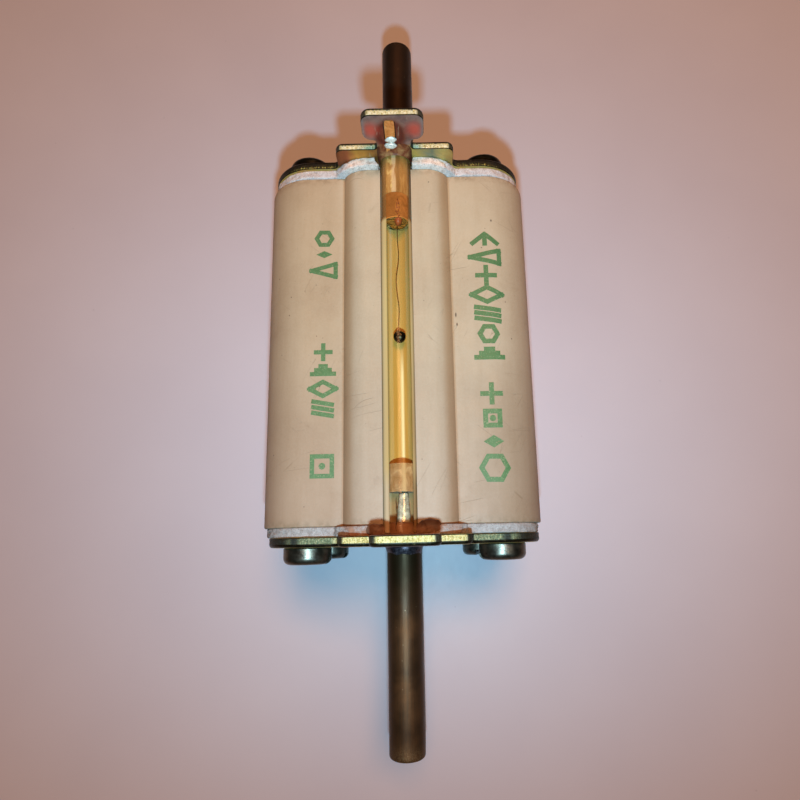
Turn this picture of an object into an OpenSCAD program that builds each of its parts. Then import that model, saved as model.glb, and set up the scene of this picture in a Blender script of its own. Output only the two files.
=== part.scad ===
// Square-body knife-blade fuse-link, size 1, with a glass-tube indicator along the front.
// Units are millimetres. The fuse lies on its back: +Z is the front, Y runs along the fuse
// and the origin is under its middle, on the plane that the back of the ceramic touches.

/* [Blades] */
// Overall length over both blades
overall_length = 135; // [132:0.5:137]
// Width of each blade, front edge to rear edge
blade_width = 20; // [18:0.5:22]
// Thickness of each blade
blade_thickness = 6; // [5:0.5:6]
// Length of the reduced tang that reaches into the body
tang_length = 12; // [10:0.5:14]

/* [End plates] */
// Distance between the outer faces of the two end plates
plate_span = 66.8; // [65.5:0.1:70]
// Thickness of an end plate
plate_thickness = 1.6; // [1.2:0.1:2]
// Half width of the base of an end plate
plate_half_width = 22.4; // [21:0.1:23]
// Front edge of the base, from the blade mid-plane
plate_front = 18.9; // [18.5:0.1:20]
// Rear edge of the base, from the blade mid-plane
plate_rear = 17.6; // [17:0.1:17.8]
// Half width of the step below the gripping lug
step_half_width = 10; // [9:0.5:11]
// Front edge of the step, from the blade mid-plane
step_front = 23.5; // [22.5:0.1:24.5]
// Half width of the neck of the gripping lug
neck_half_width = 2.85; // [2.5:0.05:3.2]
// Half width of the lug's crossbar
crossbar_half_width = 4.95; // [4.5:0.05:6]
// Rear edge of the crossbar, from the blade mid-plane
crossbar_rear = 25.7; // [25.5:0.1:26.5]
// Front edge of the crossbar, from the blade mid-plane
crossbar_front = 31.1; // [30:0.1:31.5]
// Turn of the bottom plate on its screws, in degrees
bottom_plate_turn = 2; // [0:0.5:2]

/* [Ceramic body] */
// Half width of the body
body_half_width = 23.3; // [23:0.1:24]
// Front and rear faces of the side lobes, from the blade mid-plane
lobe_half_depth = 18.4; // [18:0.1:18.6]
// Radius of the four long outer corners
corner_radius = 8; // [6:0.5:9]
// Front of the raised rib that carries the glass tube
rib_front = 20.65; // [20:0.05:21.2]
// Half width of the flat part of the rib
rib_half_flat = 5.1; // [4.5:0.1:6]
// Radius of the rounded flank of the rib
rib_flank_radius = 4.6; // [4:0.1:7]
// Thickness of the fibre gasket under each end plate
gasket_thickness = 1.5; // [1:0.1:2]

/* [Screws] */
// Distance of the screws from the fuse axis, sideways
screw_x = 15.9; // [15:0.1:16.5]
// Distance of the screws from the blade mid-plane
screw_z = 13.3; // [12.5:0.1:13.5]
// Radius of the screw shank
screw_radius = 1.95; // [1.5:0.05:2]
// Radius of the pan head
head_radius = 3.85; // [3.5:0.05:4.1]
// Height of the pan head
head_height = 2.7; // [2.2:0.1:3]

/* [Indicator] */
// Outer radius of the glass tube
tube_radius = 2.65; // [2.5:0.05:2.7]
// Inner radius of the glass tube
tube_bore_radius = 2.35; // [2.35:0.05:2.4]
// Centre of the tube, from the blade mid-plane
tube_front = 20.3; // [20:0.1:20.6]
// Sideways offset of the amber lining, the ball and the wire inside the glass
core_x = 0.3; // [0:0.05:0.3]
// Radius of the steel ball
ball_radius = 1.05; // [0.9:0.05:1.1]
// Where the ball hangs along the tube
ball_y = -0.1; // [-3:0.1:3]
// How far the ball can drop when its wire has burned
ball_travel = 19.7; // [15:0.1:20]

/* [Fuse elements] */
// Thickness of the copper strip
strip_thickness = 0.25; // [0.2:0.05:0.4]
// Width of one strip
strip_width = 7.6; // [6:0.1:7.8]
// How far the straight run stands off the fuse axis
strip_offset = 8; // [6:0.5:10]
// Radius of the perforations
hole_radius = 0.9; // [0.6:0.05:1]

/* [Hidden] */

$fn = 64;

axis_height = lobe_half_depth;
plate_outer = plate_span / 2;
plate_inner = plate_outer - plate_thickness;
body_end = plate_inner - gasket_thickness;
blade_tip = overall_length / 2;
blade_radius = blade_thickness / 2;
tip_chamfer = 0.4;
root_relief = 0.05;
root_end = plate_outer + 1.2;

tang_thickness = 5;
tang_width = 17;
tang_end = plate_outer - tang_length;
tang_fit = 0.1;

chamber_radius = 12.5;
chamber_offset = 4.5;

plate_corner = 7.5;
step_corner = 1.3;
lug_corner = 1.5;
window_x = -0.5;
window_half_width = 0.9;
window_rear = 25.7;
window_front = 30;

gasket_inset = 0.6;
gasket_lobe_lift = 0.2;
gasket_rib_lift = 1.1;
gasket_half_flat = 4.9;
gasket_arch_radius = 6.6;
gasket_hole_fit = 0.2;
gasket_notch = 2.9;

screw_grip = 9.5;
screw_fit = 0.05;
plate_hole_radius = 2.3;
head_edge = 1.1;
slot_half_width = 0.55;
slot_depth = 1.1;
screw_turns = [20, 105, 8, 172];

groove_fit = 0.1;
tube_bottom = 0.3 - plate_inner;
plug_bottom = 20;
plug_top = 25.3;
stop_top = ball_y - ball_travel - ball_radius - 0.15;
cap_top = -25.4;
cap_bottom = -29.9;
cap_tip_radius = 0.6;
cap_x = 0.5;
cap_foot_radius = 1.1;
plug_radius = 2.3;
sleeve_radius = 2;
sleeve_bore = ball_radius + 0.07;
wire_radius = 0.08;
wire_gap = 0.03;

braze_size = 0.9;
drop_radius = 3.25;
drop_z = 7.3;
tab_thickness = 0.3;
solder_radius = 0.85;
resin_gap = 0.02;
resin_depth = 0.9;
resin_foot = 4.4;
resin_top = 24.4;
patch_left = 5;
patch_right = 6.2;
patch_depth = 0.7;
patch_reach = 0.9;
patch_height = 1.4;

strip_foot = tang_thickness / 2;
strip_foot_end = 22;
strip_run_end = 17;
strip_gap_z = 0.5;
strip_fit = 0.06;
row_pitch = 5.4;
rows_each_side = 2;
sand_gap = 0.07;

// Lifts a shape drawn about the blade mid-plane to its height above the resting plane
module lifted() translate([0, 0, axis_height]) children();

// Extrudes an X-Z outline from y_low to y_high
module along_y(y_low, y_high) {
    translate([0, y_high, 0]) rotate([90, 0, 0]) linear_extrude(y_high - y_low) children();
}

// A round bar or hole along Y
module rod(radius, y_low, y_high, x = 0, z = 0) {
    along_y(y_low, y_high) translate([x, z]) circle(radius);
}

// Draws the top end (side = 1) or mirrors it to the bottom end (side = -1)
module at_end(side) mirror([0, side < 0 ? 1 : 0, 0]) children();

// The bottom plate and its screws sit slightly turned about the fuse axis
module turned(side) rotate([0, side < 0 ? bottom_plate_turn : 0, 0]) children();

module rounded_rect(half_w, low, high, radius) {
    for (x = [-1, 1], z = [low + radius, high - radius])
        translate([x * (half_w - radius), z]) circle(radius);
    translate([-half_w, low + radius]) square([2 * half_w, high - low - 2 * radius]);
    translate([radius - half_w, low]) square([2 * (half_w - radius), high - low]);
}

// Flat bar section with two fully round edges, its width along Z
module stadium(thickness, width) {
    radius = thickness / 2;
    for (z = [-1, 1]) translate([0, z * (width / 2 - radius)]) circle(radius);
    translate([-radius, radius - width / 2]) square([thickness, width - thickness]);
}

module at_screws() {
    for (x = [-1, 1], z = [-1, 1]) translate([x * screw_x, z * screw_z]) children();
}

// Arch with a flat top and round flanks
module rib_outline(half_flat, radius) {
    for (x = [-1, 1]) translate([x * half_flat, rib_front - radius]) circle(radius);
    translate([-half_flat, 0]) square([2 * half_flat, rib_front]);
}

// Slot with a round floor that is open to the front
module groove_outline(half_w) {
    translate([0, tube_front]) circle(half_w);
    translate([-half_w, tube_front]) square([2 * half_w, 10]);
}

module chamber_outline(gap = 0) {
    radius = chamber_radius - gap;
    for (x = [-1, 1]) translate([x * chamber_offset, 0]) circle(radius);
    translate([-chamber_offset, -radius]) square([2 * chamber_offset, 2 * radius]);
}

module ceramic_body() color("#cdb896") lifted() {
    difference() {
        along_y(-body_end, body_end) difference() {
            union() {
                rounded_rect(body_half_width, -lobe_half_depth, lobe_half_depth, corner_radius);
                rib_outline(rib_half_flat, rib_flank_radius);
            }
            chamber_outline();
            groove_outline(tube_radius + groove_fit);
        }
        for (side = [-1, 1]) at_end(side) turned(side)
            along_y(body_end - screw_grip - 1, body_end + 1) at_screws()
                circle(screw_radius + screw_fit);
    }
}

module plate_outline() {
    rounded_rect(plate_half_width, -plate_rear, plate_front, plate_corner);
    rounded_rect(step_half_width, 0, step_front, step_corner);
    translate([-neck_half_width, 0]) square([2 * neck_half_width, crossbar_rear + lug_corner]);
    rounded_rect(crossbar_half_width, crossbar_rear, crossbar_front, lug_corner);
}

module end_plate(side) color("#c9b458") lifted() at_end(side) difference() {
    turned(side) along_y(plate_inner, plate_outer) difference() {
        plate_outline();
        at_screws() circle(plate_hole_radius);
        translate([window_x - window_half_width, window_rear])
            square([2 * window_half_width, window_front - window_rear]);
    }
    along_y(plate_inner - 1, plate_outer + 1)
        stadium(tang_thickness + 2 * tang_fit, tang_width + 2 * tang_fit);
}

// Fibre sheet between the plate and the ceramic, notched for the glass tube
module gasket(side) color("#dcd8d4") lifted() at_end(side) difference() {
    along_y(body_end, plate_inner) difference() {
        union() {
            rounded_rect(body_half_width - gasket_inset, gasket_inset - lobe_half_depth,
                lobe_half_depth + gasket_lobe_lift, corner_radius);
            translate([0, gasket_rib_lift]) rib_outline(gasket_half_flat, gasket_arch_radius);
        }
        stadium(tang_thickness + 2 * tang_fit, tang_width + 2 * tang_fit);
        groove_outline(gasket_notch);
    }
    turned(side) along_y(body_end - 1, plate_inner + 1) at_screws()
        circle(screw_radius + gasket_hole_fit);
}

// Slotted pan-head screw, its head seated at y = 0 and its shank along -Y
module pan_screw(slot_turn) {
    shank = plate_thickness + gasket_thickness + screw_grip;
    difference() {
        rotate([-90, 0, 0]) union() {
            rotate_extrude() union() {
                square([head_radius - head_edge, head_height]);
                square([head_radius, head_height - head_edge]);
                translate([head_radius - head_edge, head_height - head_edge])
                    circle(head_edge, $fn = 32);
            }
            translate([0, 0, -shank]) cylinder(r = screw_radius, h = shank);
        }
        translate([0, head_height - slot_depth, 0]) rotate([0, slot_turn, 0])
            translate([-head_radius - 1, 0, -slot_half_width])
                cube([2 * head_radius + 2, slot_depth + 1, 2 * slot_half_width]);
    }
}

module plate_screws(side) color("#6d716f") lifted() at_end(side) turned(side) {
    for (i = [0:3])
        translate([(i % 2 * 2 - 1) * screw_x, plate_outer, (floor(i / 2) * 2 - 1) * screw_z])
            pan_screw(screw_turns[i]);
}

module blade(side) color("#5c4a36") lifted() at_end(side) {
    along_y(tang_end, plate_outer) stadium(tang_thickness, tang_width);
    along_y(plate_outer, root_end)
        stadium(blade_thickness - 2 * root_relief, blade_width - 2 * root_relief);
    along_y(root_end, blade_tip - tip_chamfer) stadium(blade_thickness, blade_width);
    along_y(blade_tip - tip_chamfer, blade_tip)
        stadium(blade_thickness - 2 * tip_chamfer, blade_width - 2 * tip_chamfer);
}

// Fillet of braze round the foot of a blade
module braze_ring() {
    section = [[blade_radius - 1, 0], [blade_radius + braze_size, 0],
        [blade_radius, braze_size], [blade_radius - 1, braze_size]];
    edge_centre = blade_width / 2 - blade_radius;
    translate([0, plate_outer, 0]) {
        for (z = [-edge_centre, edge_centre])
            translate([0, 0, z]) rotate([-90, 0, 0]) rotate_extrude() polygon(section);
        for (x = [0, 1]) mirror([x, 0, 0])
            translate([0, 0, -edge_centre]) linear_extrude(2 * edge_centre) polygon(section);
    }
}

// Heavier drop of braze on the front edge of the blade
module braze_drop() intersection() {
    translate([0, plate_outer, drop_z]) sphere(drop_radius);
    translate([-drop_radius, plate_outer, 0]) cube([2 * drop_radius, drop_radius, 20]);
}

module blade_braze(side) color("#6f6670") lifted() at_end(side) difference() {
    union() {
        braze_ring();
        braze_drop();
    }
    along_y(plate_outer - 1, blade_tip) stadium(blade_thickness, blade_width);
}

// Centre line of a strip on the +X side, from its foot on one tang to the other, as an outline
module strip_path(grow = 0) {
    foot = strip_foot - grow;
    outer = strip_thickness + 2 * grow;
    end = plate_inner - 3 + grow;
    rise = strip_offset - strip_foot;
    polygon([[foot, end], [foot, strip_foot_end], [foot + rise, strip_run_end],
        [foot + rise, -strip_run_end], [foot, -strip_foot_end], [foot, -end],
        [foot + outer, -end], [foot + outer, -strip_foot_end],
        [foot + rise + outer, -strip_run_end], [foot + rise + outer, strip_run_end],
        [foot + outer, strip_foot_end], [foot + outer, end]]);
}

// Strips 0 to 3: two on each side of the tangs, one in front of the other
module at_strip(i) {
    mirror([i % 2, 0, 0]) translate([0, 0, i < 2 ? strip_gap_z : -strip_gap_z - strip_width])
        children();
}

module fuse_element(i) color("#b87345") lifted() at_strip(i) difference() {
    linear_extrude(strip_width) strip_path();
    for (row = [-rows_each_side:rows_each_side], hole = [0:3])
        translate([strip_offset - 1, row * row_pitch, hole * strip_width / 3])
            rotate([0, 90, 0]) cylinder(r = hole_radius, h = 3, $fn = 24);
}

module quartz_sand_fill() color("#d9cfb8") lifted() difference() {
    along_y(sand_gap - body_end, body_end - sand_gap) chamber_outline(sand_gap);
    for (side = [-1, 1]) at_end(side) along_y(tang_end - sand_gap, body_end + 1)
        stadium(tang_thickness + 2 * sand_gap, tang_width + 2 * sand_gap);
    for (i = [0:3]) at_strip(i) translate([0, 0, -strip_fit])
        linear_extrude(strip_width + 2 * strip_fit) strip_path(strip_fit);
}

module indicator_tube() color("#e8e2d0", 0.4) lifted() difference() {
    rod(tube_radius, tube_bottom, plate_inner, 0, tube_front);
    rod(tube_bore_radius, tube_bottom - 1, plate_inner + 1, 0, tube_front);
}

module indicator_sleeve() color("#c79a4e") lifted() difference() {
    rod(sleeve_radius, stop_top, plug_bottom, core_x, tube_front);
    rod(sleeve_bore, stop_top - 1, plug_bottom + 1, core_x, tube_front);
}

module indicator_ball() color("#4a4440") lifted()
    translate([core_x, ball_y, tube_front]) sphere(ball_radius);

module indicator_wire() color("#3a2a1c") lifted()
    rod(wire_radius, ball_y + ball_radius + wire_gap, plug_bottom, core_x, tube_front);

module top_indicator_plug() color("#a2612d") lifted()
    rod(plug_radius, plug_bottom, plug_top, 0, tube_front);

module bottom_indicator_plug() color("#8f6a38") lifted()
    rod(plug_radius, cap_top, stop_top, 0, tube_front);

// Tinned contact that widens from the plug towards the foot of the tube
module bottom_indicator_cap() color("#b9b2a6") lifted()
    translate([cap_x, cap_top, tube_front]) rotate([90, 0, 0])
        cylinder(r1 = cap_tip_radius, r2 = cap_foot_radius, h = cap_top - cap_bottom);

// Copper tab that stands in the window of the top lug and runs down to the tube
module indicator_contact_tab() color("#b8692e") lifted() {
    half = window_half_width - 0.1;
    translate([window_x - half, plate_inner, window_rear + 0.1])
        cube([2 * half, tab_thickness, window_front - window_rear - 0.2]);
    translate([window_x - half, plate_inner - tab_thickness, tube_front + tube_radius + 0.1])
        cube([2 * half, tab_thickness, window_rear + 0.5 - tube_front - tube_radius]);
}

// Round blob that the tin joint is cut from
module solder_blob(radius) {
    translate([window_x, plate_inner - tab_thickness, window_rear - 0.9])
        sphere(radius, $fn = 32);
}

// Tin joint between the tab and the foot of the window
module contact_solder() color("#d8d8d4") lifted() intersection() {
    solder_blob(solder_radius);
    translate([-5, plate_inner - tab_thickness - 5, 0]) cube([10, 5, 60]);
}

// Resin that fills the notch of one gasket
module notch_resin() intersection() {
    groove_outline(gasket_notch);
    translate([-gasket_notch, 0]) square([2 * gasket_notch, rib_front + gasket_rib_lift]);
}

// The top resin fills the notch round the tube and climbs the plate to the solder joint
module top_resin_seal() color("#7d4520") lifted() difference() {
    union() {
        along_y(body_end + resin_gap, plate_inner) notch_resin();
        along_y(plate_inner - resin_depth, plate_inner)
            polygon([[-resin_foot, rib_front + gasket_rib_lift],
                [resin_foot, rib_front + gasket_rib_lift],
                [neck_half_width, resin_top], [-neck_half_width, resin_top]]);
    }
    rod(tube_radius, body_end - 1, plate_outer, 0, tube_front);
    translate([window_x - window_half_width, plate_inner - tab_thickness - resin_gap, tube_front])
        cube([2 * window_half_width, 2, 20]);
    solder_blob(solder_radius + resin_gap);
}

// The bottom resin holds the foot of the tube, runs out over the gasket and lies on the rib
module bottom_resin_seal() color("#8a4f2a") lifted() at_end(-1) {
    rod(plug_radius, -cap_bottom, plate_inner - 0.2, 0, tube_front);
    difference() {
        union() {
            along_y(body_end + resin_gap, plate_inner) notch_resin();
            along_y(body_end, plate_inner)
                translate([-patch_left, rib_front + gasket_rib_lift])
                    square([patch_left + patch_right, patch_depth]);
            translate([tube_radius + groove_fit, body_end - patch_reach, rib_front])
                cube([patch_right - tube_radius - groove_fit, patch_reach, patch_height]);
        }
        rod(tube_radius, body_end - 2, -tube_bottom, 0, tube_front);
    }
}

ceramic_body();
end_plate(1);  // top_end_plate
end_plate(-1);  // bottom_end_plate
gasket(1);  // top_gasket
gasket(-1);  // bottom_gasket
plate_screws(1);  // top_plate_screws
plate_screws(-1);  // bottom_plate_screws
blade(1);  // top_blade
blade(-1);  // bottom_blade
blade_braze(1);  // top_blade_braze
blade_braze(-1);  // bottom_blade_braze
fuse_element(0);  // fuse_element_1
fuse_element(1);  // fuse_element_2
fuse_element(2);  // fuse_element_3
fuse_element(3);  // fuse_element_4
quartz_sand_fill();
indicator_tube();
indicator_sleeve();
indicator_ball();
indicator_wire();
top_indicator_plug();
bottom_indicator_plug();
bottom_indicator_cap();
indicator_contact_tab();
contact_solder();
top_resin_seal();
bottom_resin_seal();
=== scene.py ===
import math

import bmesh
import bpy
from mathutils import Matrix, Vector, noise
from mathutils.geometry import delaunay_2d_cdt


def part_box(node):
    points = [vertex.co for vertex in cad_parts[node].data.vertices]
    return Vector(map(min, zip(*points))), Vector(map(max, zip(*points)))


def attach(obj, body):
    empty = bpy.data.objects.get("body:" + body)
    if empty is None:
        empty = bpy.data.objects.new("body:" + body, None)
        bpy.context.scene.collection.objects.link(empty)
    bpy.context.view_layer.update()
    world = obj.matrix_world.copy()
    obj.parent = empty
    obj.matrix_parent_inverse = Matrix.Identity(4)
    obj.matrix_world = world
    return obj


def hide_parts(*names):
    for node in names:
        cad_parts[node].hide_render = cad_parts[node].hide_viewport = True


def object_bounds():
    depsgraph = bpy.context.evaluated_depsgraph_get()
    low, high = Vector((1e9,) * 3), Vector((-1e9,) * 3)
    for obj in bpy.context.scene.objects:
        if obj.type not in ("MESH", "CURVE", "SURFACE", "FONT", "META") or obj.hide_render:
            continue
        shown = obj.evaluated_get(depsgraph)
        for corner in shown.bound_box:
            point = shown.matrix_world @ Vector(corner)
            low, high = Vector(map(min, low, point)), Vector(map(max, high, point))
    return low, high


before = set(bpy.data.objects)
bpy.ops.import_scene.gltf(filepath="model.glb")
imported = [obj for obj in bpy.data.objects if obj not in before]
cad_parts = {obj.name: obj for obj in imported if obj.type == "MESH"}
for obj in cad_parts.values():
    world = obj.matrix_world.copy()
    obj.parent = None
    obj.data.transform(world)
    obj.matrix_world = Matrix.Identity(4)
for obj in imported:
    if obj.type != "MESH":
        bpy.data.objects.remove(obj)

cad_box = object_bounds()

# Pieces are drawn in millimetres about the blade mid-plane: x sideways, y along the fuse, z to the front.
MM = 0.001
PER_MM = 1 / MM


def limits(node):
    """Lowest and highest corner of a CAD node in those millimetres."""
    low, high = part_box(node)
    shift = Vector((0, 0, AXIS_Z))
    return (low - shift) * PER_MM, (high - shift) * PER_MM


BLADE_LOW, BLADE_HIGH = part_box("top_blade")
AXIS_Z = (BLADE_LOW.z + BLADE_HIGH.z) / 2
BODY = limits("ceramic_body")
TOP_PLATE = limits("top_end_plate")
TOP_BLADE = limits("top_blade")
TUBE = limits("indicator_tube")
SLEEVE = limits("indicator_sleeve")
BALL = limits("indicator_ball")
PLUG = limits("top_indicator_plug")
BAND = limits("bottom_indicator_plug")
CONE = limits("bottom_indicator_cap")
TAB = limits("indicator_contact_tab")

BODY_END = BODY[1].y
LOBE_Z = -BODY[0].z
RIB_Z = BODY[1].z
HALF_WIDTH = BODY[1].x
CORNER = 8.0
RIB_FLAT = 5.1
RIB_ROUND = 4.6
ARCH_FLAT = 4.9
ARCH_ROUND = 6.6
GROOVE = 2.64
PLATE_IN, PLATE_OUT = TOP_PLATE[0].y, TOP_PLATE[1].y
CROSSBAR_Z = TOP_PLATE[1].z
PLATE_FRONT = 18.9
PLATE_REAR = -TOP_PLATE[0].z
PLATE_HALF = TOP_PLATE[1].x
BOTTOM_TURN = math.radians(2)
SCREWS = [(x, z) for z in (-13.3, 13.3) for x in (-15.9, 15.9)]
BLADE_TIP = TOP_BLADE[1].y
TUBE_Z = (TUBE[0].z + TUBE[1].z) / 2
TUBE_R = (TUBE[1].x - TUBE[0].x) / 2
TUBE_BORE = 2.35
CORE_X = (BALL[0].x + BALL[1].x) / 2
BALL_Y = (BALL[0].y + BALL[1].y) / 2
BALL_R = (BALL[1].x - BALL[0].x) / 2
SLEEVE_R = (SLEEVE[1].x - SLEEVE[0].x) / 2
SLEEVE_BORE = 1.12
WINDOW = (-1.4, 0.4, 25.7, 30.0)
INK_LOW, INK_HIGH = 0.004, 0.03


# Colours and nodes
def tint(red, green, blue):
    """Linear colour from display values of 0 to 255."""
    def line(v):
        v /= 255
        return v / 12.92 if v <= 0.04045 else ((v + 0.055) / 1.055) ** 2.4
    return (line(red), line(green), line(blue), 1)


def made_colour(colour):
    """A colour that is given ready made, or as three display values."""
    return tint(*colour) if len(colour) == 3 else colour[0]


class Shade:
    """A node material being put together. Its coordinates are the frame's, in millimetres."""

    def __init__(self, name):
        self.material = bpy.data.materials.new(name)
        self.material.use_nodes = True
        self.tree = self.material.node_tree
        self.tree.nodes.clear()
        self.out = self.tree.nodes.new("ShaderNodeOutputMaterial")
        place = self.node("TexCoord").outputs["Object"]
        lift = self.node("VectorMath", {0: place, 1: (0, 0, -AXIS_Z)}, operation="ADD")
        self.mm = self.node("VectorMath", {0: lift.outputs[0], "Scale": PER_MM},
                            operation="SCALE").outputs[0]
        self.x, self.y, self.z = self.node("SeparateXYZ", {0: self.mm}).outputs
        self.side, self.along = self.maths("ABSOLUTE", self.x), self.maths("ABSOLUTE", self.y)
        self.base = None

    def node(self, kind, inputs=None, **props):
        made = self.tree.nodes.new("ShaderNode" + kind)
        for key, value in props.items():
            setattr(made, key, value)
        for key, value in (inputs or {}).items():
            if isinstance(value, bpy.types.NodeSocket):
                self.tree.links.new(value, made.inputs[key])
            else:
                made.inputs[key].default_value = value
        return made

    def stretched(self, x, y, z):
        """The coordinates multiplied along each axis."""
        return self.node("Mapping", {"Vector": self.mm, "Scale": (x, y, z)}).outputs[0]

    def noise(self, size, detail=3, rough=0.55, at=None, warp=0.0):
        """Noise with features about that many millimetres across, from 0 to 1."""
        return self.node("TexNoise", {"Vector": at or self.mm, "Scale": 1 / size, "Detail": detail,
                                      "Roughness": rough, "Distortion": warp}).outputs["Fac"]

    def cells(self, size, at=None, feature="F1"):
        """Distance to scattered points that are about that many millimetres apart."""
        return self.node("TexVoronoi", {"Vector": at or self.mm, "Scale": 1 / size},
                         feature=feature).outputs["Distance"]

    def remap(self, value, low, high, to_low=0.0, to_high=1.0, smooth=True):
        return self.node("MapRange", {"Value": value, "From Min": low, "From Max": high,
                                      "To Min": to_low, "To Max": to_high},
                         interpolation_type="SMOOTHSTEP" if smooth else "LINEAR").outputs["Result"]

    def maths(self, operation, a, b=0.0):
        return self.node("Math", {0: a, 1: b}, operation=operation).outputs[0]

    def times(self, first, *others):
        for other in others:
            first = self.maths("MULTIPLY", first, other)
        return first

    def plus(self, a, b):
        return self.maths("ADD", a, b)

    def minus(self, a, b):
        return self.maths("SUBTRACT", a, b)

    def most(self, a, b):
        return self.maths("MAXIMUM", a, b)

    def mix(self, factor, a, b, blend="MIX"):
        made = self.node("Mix", {"Factor": factor}, data_type="RGBA", blend_type=blend)
        for socket, value in ((made.inputs[6], a), (made.inputs[7], b)):
            if isinstance(value, bpy.types.NodeSocket):
                self.tree.links.new(value, socket)
            else:
                socket.default_value = value
        return made.outputs[2]

    def ramp(self, value, *stops):
        """Colour ramp through stops: a place and a colour, which is made or three display values."""
        made = self.node("ValToRGB", {"Fac": value})
        bar = made.color_ramp
        while len(bar.elements) < len(stops):
            bar.elements.new(0.5)
        for element, (place, *colour) in zip(bar.elements, stops):
            element.position, element.color = place, made_colour(colour)
        return made.outputs["Color"]

    def start(self, value, *stops):
        """The running colour begins as a ramp."""
        self.base = self.ramp(value, *stops)

    def stain(self, mask, *colour, blend="MIX"):
        """Lays a colour over the running colour where mask is 1. Several masks are multiplied."""
        mask = self.times(*mask) if isinstance(mask, tuple) else mask
        self.base = self.mix(mask, self.base, made_colour(colour), blend)

    def shade(self, mask, *factors):
        """Multiplies the running colour by linear factors where mask is 1."""
        self.stain(mask, (*factors, 1), blend="MULTIPLY")

    def near(self, x, y, z, inner, outer, squash=(1, 1, 1)):
        """1 within inner millimetres of a point, falling to 0 at outer."""
        away = self.node("VectorMath", {0: self.mm, 1: (x, y, z)}, operation="SUBTRACT").outputs[0]
        away = self.node("VectorMath", {0: away, 1: squash}, operation="MULTIPLY").outputs[0]
        length = self.node("VectorMath", {0: away}, operation="LENGTH").outputs["Value"]
        return self.remap(length, inner, outer, 1, 0)

    def bump(self, height, depth, level=False):
        """Normal that a height of 0 to 1 gives when it stands that many millimetres."""
        inputs = {"Height": height, "Distance": depth * MM}
        if level:
            inputs["Normal"] = self.node("CombineXYZ", {"Z": 1.0}).outputs[0]
        return self.node("Bump", inputs).outputs["Normal"]

    def surface(self, base, rough, normal=None, **values):
        inputs = {"Base Color": base, "Roughness": rough}
        if normal is not None:
            inputs["Normal"] = normal
        inputs.update({key.replace("_", " "): value for key, value in values.items()})
        return self.node("BsdfPrincipled", inputs).outputs["BSDF"]

    def finish(self, mark, smooth, rough, height, depth, level=False, **values):
        """Closes with the running colour, a roughness that follows mark and a bump that follows height."""
        roughness = self.remap(mark, 0.2, 0.8, smooth, rough)
        return self.done(self.surface(self.base, roughness, self.bump(height, depth, level), **values))

    def blend(self, amount, first, second):
        """One shader turning into another."""
        return self.node("MixShader", {0: amount, 1: first, 2: second}).outputs[0]

    def done(self, shader):
        self.tree.links.new(shader, self.out.inputs["Surface"])
        return self.material


def ceramic_finish():
    s = Shade("porcelain")
    grain = s.noise(0.35, 3, 0.65)
    streak = s.noise(1.6, 4, 0.6, at=s.stretched(1, 0.09, 1))
    s.start(s.noise(16, 4, 0.6), (0.3, 174, 150, 122), (0.52, 183, 160, 131),
            (0.72, 189, 167, 139))
    s.stain(s.remap(streak, 0.35, 0.75, 0, 0.25), 163, 136, 104)
    s.stain(s.remap(grain, 0.3, 0.8, 0, 0.16), 204, 185, 160)
    s.stain(s.remap(s.noise(5.5, 5, 0.7, warp=0.6), 0.58, 0.8, 0, 0.3), 140, 114, 86)
    # Painted shade: the porcelain is darkened towards the bottom end, where the light falls off.
    s.shade(s.remap(s.y, 22, -30), 0.78, 0.71, 0.74)
    # Painted shade: the left side of the body is darkened, as if lit more from the right.
    s.shade(s.remap(s.x, -8, -11), 0.93, 0.88, 0.83)
    # Painted shade: the lower part of the right lobe is darkened.
    s.shade((s.remap(s.x, 9, 17), s.remap(s.y, 4, -20)), 0.82, 0.8, 0.76)
    # Painted shade along the foot of each rib flank.
    painted_flank_shade = s.times(s.remap(s.side, 6.8, 8.4), s.remap(s.side, 9.1, 9.5, 1, 0), s.remap(s.z, LOBE_Z - 1.5, LOBE_Z))
    s.shade((painted_flank_shade, 0.95), 0.84, 0.72, 0.6)
    end = s.times(s.remap(s.along, BODY_END - 1.6, BODY_END, 0, 1), s.remap(s.noise(0.9, 4), 0.4, 0.62))
    s.stain((end, 0.45), 122, 98, 72)
    s.stain((s.remap(s.cells(1.9), 0.035, 0.075, 1, 0), s.remap(s.noise(4.5, 2), 0.54, 0.58), 0.8), 66, 48, 34)
    for x, y, long in ((9.7, 4.3, 0.55), (9.85, 2.6, 0.4), (16.4, 21.6, 0.3)):
        s.stain((s.near(x, y, LOBE_Z, 0.12, 0.3, (1.6, 0.3 / long, 0)), 0.8), 62, 44, 32)
    pits = s.times(s.remap(s.cells(0.75), 0.06, 0.13, 1, 0), s.remap(s.noise(2.6, 2), 0.55, 0.62))
    s.stain((pits, 0.3), 108, 86, 62)
    scratch = None
    for turn, size in ((0.5, 7.0), (-0.9, 9.0), (1.35, 11.0)):
        at = s.node("Mapping", {"Vector": s.mm, "Rotation": (0, 0, turn)}).outputs[0]
        at = s.node("Mapping", {"Vector": at, "Scale": (1, 0.055, 0.4)}).outputs[0]
        edge = s.cells(size * 0.35, at=at, feature="DISTANCE_TO_EDGE")
        line = s.times(s.remap(edge, 0.0, 0.006, 1, 0), s.remap(s.noise(size, 2), 0.58, 0.64))
        scratch = line if scratch is None else s.most(scratch, line)
    s.stain((scratch, 0.45), 120, 96, 70)
    height = s.plus(s.times(grain, 0.55), s.times(streak, 0.6))
    height = s.minus(height, s.times(s.most(pits, scratch), 0.9))
    rough = s.remap(s.noise(3.2, 4), 0.3, 0.7, 0.5, 0.66)
    return s.done(s.surface(s.base, rough, s.bump(height, 0.022), Specular_IOR_Level=0.3))


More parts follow.
